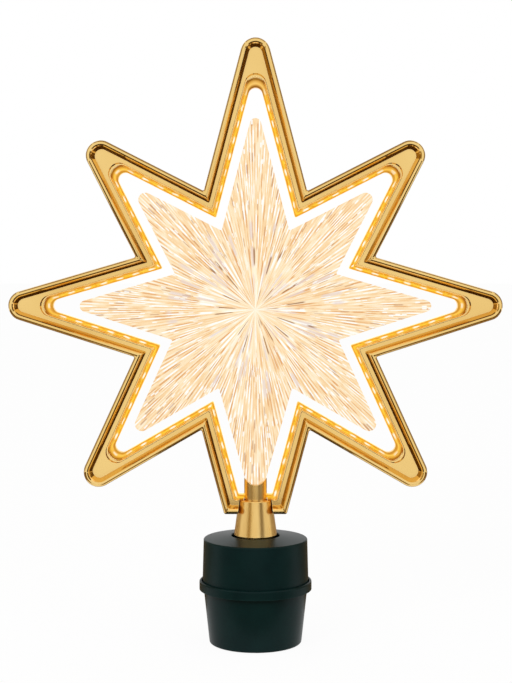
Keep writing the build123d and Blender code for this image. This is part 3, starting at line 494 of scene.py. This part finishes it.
# light cover: a clear amber bar round the opening, brightest over each chip, lengths in millimetres
coverLook = {
    "section": (  # inset from the outline and depth, once round the bar
        (6.5, 2.9), (6.5, 2.2), (8.2, 2.2), (8.2, -2.2), (6.5, -2.2), (6.5, -2.9), (7.4, -2.9), (8.4, -2.9),
        (8.85, -2.65), (9.1, -2.1), (9.1, -0.7), (9.1, 0.7), (9.1, 2.1), (8.85, 2.65), (8.4, 2.9), (7.4, 2.9),
    ),
    "guide": 10,  # point of the section along which the light pattern is measured
    "tipAt": ((6.5, 5.4), (9.1, 3.5)),  # inset and radius of the tips there
    "foot": 1.2, "valley": 0.7, "legSteps": 60,
    "arcSteps": {"tip": 16, "diagonal": 16, "foot": 4, "valley": 4},
    "postGap": 6.05, "footBelow": -80.0,  # half the gap for the post, and the level below which it opens
    "bandFrom": 6.9, "bandTo": 9.1,
    "band": (
        (0.0, srgb(176, 100, 4)), (0.14, srgb(220, 148, 14)), (0.32, srgb(246, 190, 36)),
        (0.46, srgb(253, 206, 52)), (0.62, srgb(242, 178, 24)), (0.78, srgb(224, 142, 10)),
        (0.92, srgb(236, 172, 44)), (1.0, srgb(246, 204, 104)),
    ),
    "longStreaks": (0.24, 2.4, 3.0, 0.6),  # scale along and across, detail, roughness
    "shortStreaks": (0.42, 4.0, 2.0, 0.5),
    "dark": srgb(198, 114, 2), "darkSpan": (0.50, 0.64), "darkShare": 0.7,
    "pale": srgb(255, 228, 92), "paleSpan": (0.54, 0.66), "paleShare": 0.6,
    "spot": srgb(255, 253, 236), "spotAt": 7.95, "spotWander": 1.6, "spotShare": 1.0, "spotFar": 6.0,
    "spotEnds": (0.665, 2.28), "spotSides": (0.08, 0.56),  # where a spot fades along the bar and across it
    # painted shade and reflection at the tips: the frame's gold tip wall and the dark line below it, painted
    # onto the bar
    "tipShadeAndReflection": (
        (0.0, srgb(120, 74, 16)), (0.2, srgb(206, 152, 62)), (0.55, srgb(240, 196, 104)),
        (0.8, srgb(170, 110, 30)), (0.95, srgb(96, 54, 8)), (1.0, srgb(190, 130, 40)),
    ),
    "tipReach": 6.5, "tipFall": 4, "topTipShare": 1.0, "tipShare": 0.45,
    "body": (0.10, 0.05, 0.01), "gloss": 0.1, "rough": 0.18, "strength": 1.0,
}


def chipCentres():
    # middle of every chip on the strip, in millimetres of the star's plane
    block = bmesh.new()
    block.from_mesh(nodes["led_chips"].data)
    bmesh.ops.remove_doubles(block, verts=block.verts, dist=1e-6)
    seen, centres = set(), []
    for vert in block.verts:
        if vert.index in seen:
            continue
        todo, island = [vert], []
        seen.add(vert.index)
        while todo:
            here = todo.pop()
            island.append(here.co.copy())
            for edge in here.link_edges:
                other = edge.other_vert(here)
                if other.index not in seen:
                    seen.add(other.index)
                    todo.append(other)
        middle = sum(island, Vector()) / len(island)
        centres.append(Vector((middle.x / mm, middle.z / mm - starShape["height"])))
    block.free()
    return centres


def coverLoops(look):
    # one run of points for each point of the section
    (lowInset, lowTip), (highInset, highTip) = look["tipAt"]
    loops = []
    for inset, depth in look["section"]:
        tip = lowTip + (highTip - lowTip) * (inset - lowInset) / (highInset - lowInset)
        radii = {"tip": tip, "diagonal": tip, "foot": look["foot"], "valley": look["valley"]}
        loops.append(starLoop(insetCorners(inset, True), radii, look["legSteps"], look["arcSteps"]))
    return loops


def openRun(loop, look):
    # order of the points from one side of the post round to the other
    count = len(loop)
    keep = [i for i in range(count) if loop[i].y > look["footBelow"] or abs(loop[i].x) > look["postGap"]]
    firstKept = next(i for i in keep if (i - 1) % count not in keep)
    return [(firstKept + s) % count for s in range(len(keep))]


def tipPlaces(guide, look):
    # points of the guide run in the tips, each with how much painted shade and reflection of the frame's tip
    # it has
    places = []
    for number in range(len(starShape["spokes"])):
        if number != starShape["bottomSpoke"]:
            apex = spokeApex(number)
            share = look["topTipShare" if number == starShape["topSpoke"] else "tipShare"]
            places.append((min(guide, key=lambda p: (p - apex).length), share))
    return places


def tipFade(away, look):
    return math.exp(-(away.length / look["tipReach"]) ** look["tipFall"])


def buildCover(look):
    loops = coverLoops(look)
    order = openRun(loops[0], look)
    for loop in loops:
        for end in (order[0], order[-1]):
            loop[end].x = math.copysign(look["postGap"], loop[end].x)
    guide = loops[look["guide"]]
    centres = chipCentres()
    tips = tipPlaces(guide, look)
    verts, runWays, spotsAway, tipPaintedShares = [], [], [], []
    travel = 0.0
    for s, i in enumerate(order):
        here, back = guide[i], guide[order[max(s - 1, 0)]]
        ahead = guide[order[min(s + 1, len(order) - 1)]]
        travel += (here - back).length
        heading = (ahead - back).normalized()
        for loop, (inset, depth) in zip(loops, look["section"]):
            point = loop[i]
            verts.append(place(point, depth))
            runWays += (travel, inset, depth)
            away = min((centre - point for centre in centres), key=lambda way: way.length)
            spotsAway.append(abs(away.dot(heading)) if away.length < look["spotFar"] else look["spotFar"])
            tipPaintedShares.append(max(share * tipFade(point - tip, look) for tip, share in tips))
    width = len(loops)
    last = (len(order) - 1) * width
    faces = []
    for start in range(0, last, width):
        for k in range(width):
            a, b = start + k, start + (k + 1) % width
            faces.append((a, b, b + width, a + width))
    faces.append(tuple(range(width)))
    faces.append(tuple(last + k for k in reversed(range(width))))
    cover = newPiece("lightCover", verts, faces, "star_frame")
    marks = cover.data.attributes
    marks.new("runWay", "FLOAT_VECTOR", "POINT").data.foreach_set("vector", runWays)
    marks.new("spotAway", "FLOAT", "POINT").data.foreach_set("value", spotsAway)
    marks.new("tipPaintedShare", "FLOAT", "POINT").data.foreach_set("value", tipPaintedShares)
    return cover


def readMark(tree, name, output):
    mark = tree.nodes.new("ShaderNodeAttribute")
    mark.attribute_name = name
    return mark.outputs[output]


def addStreaks(tree, along, across, detail, rough):
    # noise drawn out along the bar
    way = scaleVector(tree, readMark(tree, "runWay", "Vector"), (along, across, across))
    return addNoise(tree, way, 1.0, detail, rough)


def coverFinish(look):
    mat, tree, shader = newMaterial("amberCover")
    inset = splitParts(tree, readMark(tree, "runWay", "Vector"))["Y"]
    bandPlace = addRange(tree, inset, look["bandFrom"], look["bandTo"])
    colour = addRamp(tree, bandPlace, look["band"])
    longStreaks = addStreaks(tree, *look["longStreaks"])
    shortStreaks = addStreaks(tree, *look["shortStreaks"])
    darkShare = times(tree, stepUp(tree, longStreaks, *look["darkSpan"]), look["darkShare"])
    colour = mixColour(tree, darkShare, colour, look["dark"])
    paleShare = times(tree, stepUp(tree, shortStreaks, *look["paleSpan"]), look["paleShare"])
    colour = mixColour(tree, paleShare, colour, look["pale"])
    # a bright spot over each chip, on a line that wanders across the bar
    wander = times(tree, addMath(tree, "SUBTRACT", longStreaks, 0.5), look["spotWander"])
    spotLine = addMath(tree, "ADD", wander, look["spotAt"])
    offLine = addMath(tree, "ABSOLUTE", addMath(tree, "SUBTRACT", inset, spotLine))
    spotEnd = stepDown(tree, readMark(tree, "spotAway", "Fac"), *look["spotEnds"])
    spotSide = stepDown(tree, offLine, *look["spotSides"])
    colour = mixColour(tree, times(tree, spotEnd, spotSide, look["spotShare"]), colour, look["spot"])
    # painted shade and reflection of the frame's tip, mixed in near the tips
    tipPaintedColour = addRamp(tree, bandPlace, look["tipShadeAndReflection"])
    colour = mixColour(tree, readMark(tree, "tipPaintedShare", "Fac"), colour, tipPaintedColour)
    tree.links.new(colour, shader.inputs["Emission Color"])
    shader.inputs["Emission Strength"].default_value = look["strength"]
    shader.inputs["Base Color"].default_value = (*look["body"], 1.0)
    shader.inputs["Specular IOR Level"].default_value = look["gloss"]
    shader.inputs["Roughness"].default_value = look["rough"]
    return mat


lightCover = buildCover(coverLook)
lightCover.data.materials.append(coverFinish(coverLook))
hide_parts("light_cover")
print("light cover made")

# clear star with radial ribs on both faces, lengths in millimetres
panelLook = {
    "inset": 13.5, "half": 2.5, "edge": 0.35, "lift": 5.0,
    "radii": {"tip": 2.8, "diagonal": 3.5, "bottom": 5.8, "valley": 0.7},
    "legSteps": 48, "arcSteps": {"tip": 10, "diagonal": 10, "bottom": 14, "valley": 4},
    "levels": 22, "levelPower": 0.9,  # rings of points on a face, closer toward the rim below 1
    "rib": 0.22, "ribDepths": (0.35, 1.0), "ribFull": 14.0, "levelShares": (0.55, 0.45), "seed": 11,
    "tab": {"halfWidth": 2.2, "halfDepth": 2.45, "bottom": 74.05, "top": 82.1},
    # ribs in a turn, length of a facet, how far every second rib is paler, streaks round and along
    "zones": (
        (144, 19.0, 0.16, 26.0, 26.0),
        (400, 11.0, 0.32, 90.0, 40.0),
        (720, 9.0, 0.34, 170.0, 50.0),
    ),
    "zoneEdges": (29.0, 58.0), "zoneBlend": 1.5,  # radius where the ribs grow finer
    "fray": (64, 10.0),  # steps in a turn and reach of the uneven edge of a zone
    "fraySeed": 7.3, "streakSeed": 3.7, "zoneSeed": 1.0, "flashSeed": 11.0, "rowSeed": 0.5,
    "facetEnds": (0.0, 0.25), "facetSides": (-0.2, 0.2), "facetShare": 0.84,
    "streakDetail": 2.0, "streakRough": 0.6, "streakSpan": (0.18, 0.82),
    "tones": (
        (0.16, srgb(230, 174, 116)), (0.32, srgb(246, 206, 152)), (0.52, srgb(252, 225, 182)),
        (0.68, srgb(254, 240, 212)), (0.82, srgb(255, 255, 250)),
    ),
    # painted highlight: thin bright lines along the sides of the facets
    "ridgeHighlight": srgb(255, 248, 228), "ridgeSpan": (0.03, 0.17), "ridgeShare": 0.55,
    "flashes": (  # colour, ribs in a turn, length, part of the facets, strength, from and to which radius
        (srgb(230, 214, 210), 110, 14.0, 0.11, 0.7, 6.0, 46.0),
        (srgb(192, 144, 108), 460, 6.0, 0.06, 0.65, 26.0, 120.0),
        (srgb(158, 106, 66), 140, 12.0, 0.09, 0.85, 3.0, 33.0),
        # painted glints: white sparkles on single facets
        (srgb(255, 255, 252), 480, 3.2, 0.06, 0.9, 3.0, 130.0),
    ),
    "flashSides": (0.04, 0.26), "flashEnds": (0.03, 0.22), "flashFade": 4.0,
    "core": srgb(255, 243, 210), "coreSpan": (1.0, 11.0), "coreShare": 0.2,
    "rays": srgb(255, 252, 238), "rayCount": 8, "rayShare": 0.5,
    "rayWide": (0.1, 0.7), "rayLong": (8.0, 34.0),  # where a ray fades across and along
    "body": (0.16, 0.16, 0.16), "rough": 0.2, "bump": 0.25, "bumpDepth": 0.2, "strength": 0.82,
}


def panelRun(look, edge):
    # outline of the clear star, or the inner line of its rounded edge
    corners = []
    for corner, kind in insetCorners(look["inset"] + edge):
        lift = look["lift"] if kind == "bottom" else 0.0
        corners.append((corner + Vector((0, lift)), kind))
    radii = {kind: r + edge if kind == "valley" else r - edge for kind, r in look["radii"].items()}
    return starLoop(corners, radii, look["legSteps"], look["arcSteps"])


def bridge(faces, low, high):
    # faces between two closed rows of points
    for i in range(len(low)):
        j = (i + 1) % len(low)
        faces.append((low[i], high[i], high[j], low[j]))


def addTab(verts, faces, tab):
    # block under the star that the post holds
    start = len(verts)
    for z in (tab["bottom"], tab["top"]):
        for x, y in ((-1, -1), (1, -1), (1, 1), (-1, 1)):
            verts.append(Vector((x * tab["halfWidth"], y * tab["halfDepth"], z)) * mm)
    below, above = range(start, start + 4), range(start + 4, start + 8)
    faces += [tuple(below), tuple(above)]
    bridge(faces, below, above)


def buildPanel(look):
    outline, inner = panelRun(look, 0.0), panelRun(look, look["edge"])
    count = len(outline)
    dice = random.Random(look["seed"])
    ribDepths = [dice.uniform(*look["ribDepths"]) for i in range(count)]
    least, spread = look["levelShares"]
    verts, faces, rims = [], [], []
    for side in (1, -1):
        hub = len(verts)
        verts.append(place(Vector((0, 0)), side * look["half"]))
        rows = []
        for level in range(1, look["levels"] + 1):
            share = (level / look["levels"]) ** look["levelPower"]
            rows.append(range(len(verts), len(verts) + count))
            for i in range(count):
                point = inner[i] * share
                cut = 0.0
                if i % 2 and level < look["levels"]:
                    cut = look["rib"] * ribDepths[i] * min(1.0, point.length / look["ribFull"])
                    cut *= least + spread * dice.random()
                verts.append(place(point, side * (look["half"] - cut)))
        rows.append(range(len(verts), len(verts) + count))
        verts += [place(point, side * (look["half"] - look["edge"])) for point in outline]
        faces += [(hub, rows[0][i], rows[0][(i + 1) % count]) for i in range(count)]
        for low, high in zip(rows, rows[1:]):
            bridge(faces, low, high)
        rims.append(rows[-1])
    bridge(faces, *rims)
    addTab(verts, faces, look["tab"])
    return newPiece("clearStar", verts, faces, "inner_star", smooth=False)


def starPlace(tree):
    # angle round the star's centre and distance from it
    parts = splitParts(tree, objectPlace(tree))
    high = addMath(tree, "SUBTRACT", parts["Z"], starShape["height"] * mm)
    angle = addMath(tree, "ARCTAN2", high, parts["X"])
    squares = [addMath(tree, "POWER", length, 2.0) for length in (parts["X"], high)]
    return angle, addMath(tree, "SQRT", addMath(tree, "ADD", *squares))


def addRandom(tree, *values):
    node = tree.nodes.new("ShaderNodeTexWhiteNoise")
    tree.links.new(joinParts(tree, *values), node.inputs["Vector"])
    return node.outputs["Value"]


def facetCells(tree, angle, radius, ribs, facetLong, seed):
    # random value of each facet along each rib, the rib's number, distances from the facet's sides and ends
    across = times(tree, angle, ribs / fullTurn)
    rib = addMath(tree, "FLOOR", across)
    shift = addRandom(tree, rib, seed, panelLook["rowSeed"])
    along = addMath(tree, "ADD", addMath(tree, "DIVIDE", radius, facetLong * mm), shift)
    value = addRandom(tree, rib, addMath(tree, "FLOOR", along), seed)
    return value, rib, addMath(tree, "PINGPONG", across, 0.5), addMath(tree, "PINGPONG", along, 0.5)


def zoneShares(tree, angle, radius, look):
    # 0 inside and 1 outside each edge between two zones
    steps, reach = look["fray"]
    step = addMath(tree, "FLOOR", times(tree, angle, steps / fullTurn))
    fray = addMath(tree, "SUBTRACT", addRandom(tree, step, look["fraySeed"], look["rowSeed"]), 0.5)
    frayed = addMath(tree, "ADD", radius, times(tree, fray, reach * mm))
    blend = look["zoneBlend"]
    return [stepUp(tree, frayed, (edge - blend) * mm, (edge + blend) * mm) for edge in look["zoneEdges"]]


def zoneLayers(tree, angle, radius, look, zone):
    # tone of the facets of one zone, distance from their sides, and soft streaks
    ribs, facetLong, stripe, around, along = look["zones"][zone]
    value, rib, side, end = facetCells(tree, angle, radius, ribs, facetLong, zone + look["zoneSeed"])
    way = joinParts(tree, times(tree, angle, around), times(tree, radius, along), look["streakSeed"] * zone)
    streak = addNoise(tree, way, 1.0, look["streakDetail"], look["streakRough"])
    soft = times(tree, stepUp(tree, end, *look["facetEnds"]), stepUp(tree, side, *look["facetSides"]))
    value = times(tree, addMath(tree, "SUBTRACT", value, 0.5), soft)
    value = times(tree, addMath(tree, "ADD", value, 0.5), 1.0 - stripe)
    second = addMath(tree, "PINGPONG", rib, 1.0)  # 0 and 1 in turn
    return addMath(tree, "ADD", value, times(tree, second, stripe)), side, streak


def addFlashes(tree, angle, radius, look, colour):
    # single facets of other colours, the white ones painted glints
    fade = look["flashFade"]
    for number, (flash, ribs, facetLong, few, share, nearest, farthest) in enumerate(look["flashes"]):
        seed = look["flashSeed"] + number
        value, rib, side, end = facetCells(tree, angle, radius, ribs, facetLong, seed)
        mask = times(
            tree, addMath(tree, "GREATER_THAN", value, 1.0 - few), share,
            stepUp(tree, side, *look["flashSides"]),
            stepUp(tree, end, *look["flashEnds"]),
            stepUp(tree, radius, nearest * mm, (nearest + fade) * mm),
            stepDown(tree, radius, (farthest - fade) * mm, farthest * mm),
        )
        colour = mixColour(tree, mask, colour, flash)
    return colour


def addCore(tree, angle, radius, look, colour):
    # pale centre with thin rays
    coreFrom, coreTo = (at * mm for at in look["coreSpan"])
    coreShare = times(tree, stepDown(tree, radius, coreFrom, coreTo), look["coreShare"])
    colour = mixColour(tree, coreShare, colour, look["core"])
    rayTurn = addMath(tree, "PINGPONG", times(tree, angle, look["rayCount"] / fullTurn), 0.5)
    rayAway = times(tree, rayTurn, radius, fullTurn / look["rayCount"])
    wideFrom, wideTo = (at * mm for at in look["rayWide"])
    longFrom, longTo = (at * mm for at in look["rayLong"])
    raySide = stepDown(tree, rayAway, wideFrom, wideTo)
    rayEnd = stepDown(tree, radius, longFrom, longTo)
    return mixColour(tree, times(tree, raySide, rayEnd, look["rayShare"]), colour, look["rays"])


def panelFinish(look):
    mat, tree, shader = newMaterial("clearPanel")
    angle, radius = starPlace(tree)
    shares = zoneShares(tree, angle, radius, look)
    layers = zoneLayers(tree, angle, radius, look, 0)
    for zone, share in enumerate(shares, 1):
        outer = zoneLayers(tree, angle, radius, look, zone)
        layers = [mixValue(tree, share, low, high) for low, high in zip(layers, outer)]
    facetTone, facetSide, streak = layers
    streakTone = times(tree, stepUp(tree, streak, *look["streakSpan"]), 1.0 - look["facetShare"])
    tone = addMath(tree, "ADD", times(tree, facetTone, look["facetShare"]), streakTone)
    colour = addRamp(tree, tone, look["tones"])
    innermost = addMath(tree, "SUBTRACT", 1.0, shares[0])
    # painted highlight along the ridges of the innermost facets
    ridgeHighlight = times(tree, stepDown(tree, facetSide, *look["ridgeSpan"]), look["ridgeShare"], innermost)
    colour = mixColour(tree, ridgeHighlight, colour, look["ridgeHighlight"])
    colour = addFlashes(tree, angle, radius, look, colour)
    colour = addCore(tree, angle, radius, look, colour)
    tree.links.new(colour, shader.inputs["Emission Color"])
    tree.links.new(mixColour(tree, 1.0, colour, look["body"], "MULTIPLY"), shader.inputs["Base Color"])
    shader.inputs["Emission Strength"].default_value = look["strength"]
    shader.inputs["Roughness"].default_value = look["rough"]
    addBump(tree, shader, tone, look["bump"], look["bumpDepth"])
    return mat


clearStar = buildPanel(panelLook)
clearStar.data.materials.append(panelFinish(panelLook))
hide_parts("star_panel")
print("clear star made")

# floor and background, in metres as all of the stage is
stageLook = {
    "floorFrom": (-6.0, -3.0), "floorTo": (6.0, 8.0), "floorLevel": -0.0002,
    "floor": (0.92, 0.92, 0.92), "floorRough": 0.9, "floorWhite": 0.94,
    "back": (1.0, 1.0, 1.0), "ambient": 0.75,
}


def addSheet(name, corners):
    mesh = bpy.data.meshes.new(name)
    mesh.from_pydata(corners, [], [(0, 1, 2, 3)])
    sheet = bpy.data.objects.new(name, mesh)
    scene.collection.objects.link(sheet)
    return sheet


def backgroundSeen(tree):
    # 1 for rays from the camera and for those mirrored or let through, 0 for the rest
    path = tree.nodes.new("ShaderNodeLightPath")
    seen = addMath(tree, "ADD", path.outputs["Is Camera Ray"], path.outputs["Is Glossy Ray"], clamp=True)
    return addMath(tree, "ADD", seen, path.outputs["Is Transmission Ray"], clamp=True)


def floorFinish(look):
    mat, tree, shader = newMaterial("paleFloor")
    shader.inputs["Base Color"].default_value = (*look["floor"], 1.0)
    shader.inputs["Roughness"].default_value = look["floorRough"]
    white = tree.nodes.new("ShaderNodeEmission")
    white.inputs["Strength"].default_value = 1.0
    mix = tree.nodes.new("ShaderNodeMixShader")
    tree.links.new(times(tree, backgroundSeen(tree), look["floorWhite"]), mix.inputs[0])
    tree.links.new(shader.outputs[0], mix.inputs[1])
    tree.links.new(white.outputs[0], mix.inputs[2])
    tree.links.new(mix.outputs[0], tree.nodes["Material Output"].inputs["Surface"])
    return mat


def setWorld(look):
    world = bpy.data.worlds.new("studio")
    scene.world = world
    world.use_nodes = True
    tree = world.node_tree
    back = tree.nodes["Background"]
    back.inputs["Color"].default_value = (*look["back"], 1.0)
    power = addMath(tree, "MULTIPLY_ADD", backgroundSeen(tree), 1.0 - look["ambient"], look["ambient"])
    tree.links.new(power, back.inputs["Strength"])


(left, front), (right, rear) = stageLook["floorFrom"], stageLook["floorTo"]
floorCorners = ((left, front), (right, front), (right, rear), (left, rear))
floor = addSheet("floor", [(x, y, stageLook["floorLevel"]) for x, y in floorCorners])
floor.data.materials.append(floorFinish(stageLook))
setWorld(stageLook)

# cards outside the view, seen in reflections only, that give the gold its dark lines
# tones run from bottom to top, or from front to back on a card that lies flat
cardAim = (0.0, 0.0, 0.17)
cards = {
    "cardFloor": {
        "centre": (0.0, -0.225, 0.0015), "size": (1.5, 0.37), "flat": True,
        "tones": ((0.0, (0.40, 0.28, 0.12)), (0.14, (0.08, 0.043, 0.010)),
                  (0.6, (0.055, 0.030, 0.007)), (1.0, (0.26, 0.16, 0.04))),
    },
    "cardUnder": {
        "centre": (0.0, 0.33, 0.0012), "size": (1.2, 0.56), "flat": True,
        "tones": ((0.0, (0.26, 0.17, 0.08)), (1.0, (0.34, 0.23, 0.12))),
    },
    "cardRight": {
        "centre": (0.50, -0.66, 0.20), "size": (0.32, 0.66), "flat": False,
        "tones": ((0.0, (0.11, 0.060, 0.013)), (1.0, (0.09, 0.050, 0.011))),
    },
    "cardLeft": {
        "centre": (-0.50, -0.66, 0.20), "size": (0.32, 0.66), "flat": False,
        "tones": ((0.0, (0.40, 0.29, 0.11)), (1.0, (0.36, 0.26, 0.09))),
    },
    "cardBackRight": {
        "centre": (0.78, 0.52, 0.30), "size": (0.95, 1.5), "flat": False,
        "tones": ((0.0, (0.31, 0.24, 0.16)), (1.0, (0.36, 0.28, 0.19))),
    },
    "cardBackLeft": {
        "centre": (-0.78, 0.52, 0.30), "size": (0.95, 1.5), "flat": False,
        "tones": ((0.0, (0.36, 0.29, 0.19)), (1.0, (0.41, 0.33, 0.22))),
    },
    "cardBackTop": {
        "centre": (0.0, 0.52, 1.0), "size": (1.3, 0.95), "flat": False,
        "tones": ((0.0, (0.33, 0.25, 0.15)), (1.0, (0.38, 0.28, 0.17))),
    },
}


def turnTo(obj, target, ahead, up):
    way = Vector(target) - obj.location
    obj.rotation_euler = way.to_track_quat(ahead, up).to_euler()


def cardFinish(name, card, halfHigh):
    mat, tree, shader = newMaterial(name)
    shader.inputs["Base Color"].default_value = (0.0, 0.0, 0.0, 1.0)
    shader.inputs["Roughness"].default_value = 1.0
    shader.inputs["Specular IOR Level"].default_value = 0.0
    high = splitParts(tree, objectPlace(tree))["Y" if card["flat"] else "Z"]
    share = addRange(tree, high, -halfHigh, halfHigh)
    tree.links.new(addRamp(tree, share, card["tones"]), shader.inputs["Emission Color"])
    shader.inputs["Emission Strength"].default_value = 1.0
    return mat


def addCard(name, card):
    w, h = (side / 2 for side in card["size"])
    corners = [(-w, -h), (w, -h), (w, h), (-w, h)]
    sheet = addSheet(name, [(x, y, 0) if card["flat"] else (x, 0, y) for x, y in corners])
    sheet.location = card["centre"]
    if not card["flat"]:
        turnTo(sheet, cardAim, "Y", "Z")
    sheet.visible_camera = False
    sheet.visible_shadow = False
    sheet.visible_diffuse = False
    sheet.data.materials.append(cardFinish(name, card, h))


for name, card in cards.items():
    addCard(name, card)

lamps = {
    "keyLamp": {"centre": (-0.7, -1.2, 0.9), "target": (0, 0, 0.15), "size": 0.7, "power": 9.0},
    "fillLamp": {"centre": (0.9, -1.1, 0.5), "target": (0, 0, 0.12), "size": 0.8, "power": 4.0},
}
for name, look in lamps.items():
    lampData = bpy.data.lights.new(name, "AREA")
    lampData.size = look["size"]
    lampData.energy = look["power"]
    lamp = bpy.data.objects.new(name, lampData)
    lamp.location = look["centre"]
    turnTo(lamp, look["target"], "-Z", "Y")
    lamp.visible_glossy = False  # the gold mirrors the room and the cards, not the lamps
    scene.collection.objects.link(lamp)

# camera at the photograph's height and distance, with the picture's measures in pixels
cameraLook = {
    "distance": 0.750, "height": 0.1956, "sensor": 36.0,
    "focalPixels": 1500.0, "wide": 512.0, "high": 683.0, "horizon": 250.0, "axis": 255.5,
}
cameraData = bpy.data.cameras.new("camera")
cameraData.sensor_width = cameraLook["sensor"]
cameraData.lens = cameraLook["focalPixels"] * cameraLook["sensor"] / cameraLook["high"]
cameraData.shift_x = (cameraLook["wide"] / 2 - cameraLook["axis"]) / cameraLook["high"]
cameraData.shift_y = (cameraLook["horizon"] - cameraLook["high"] / 2) / cameraLook["high"]
camera = bpy.data.objects.new("camera", cameraData)
camera.location = (0.0, -cameraLook["distance"], cameraLook["height"])
camera.rotation_euler = (math.radians(90), 0, 0)
scene.collection.objects.link(camera)
scene.camera = camera
scene.view_settings.view_transform = "Standard"
print("stage, lamps and camera set")
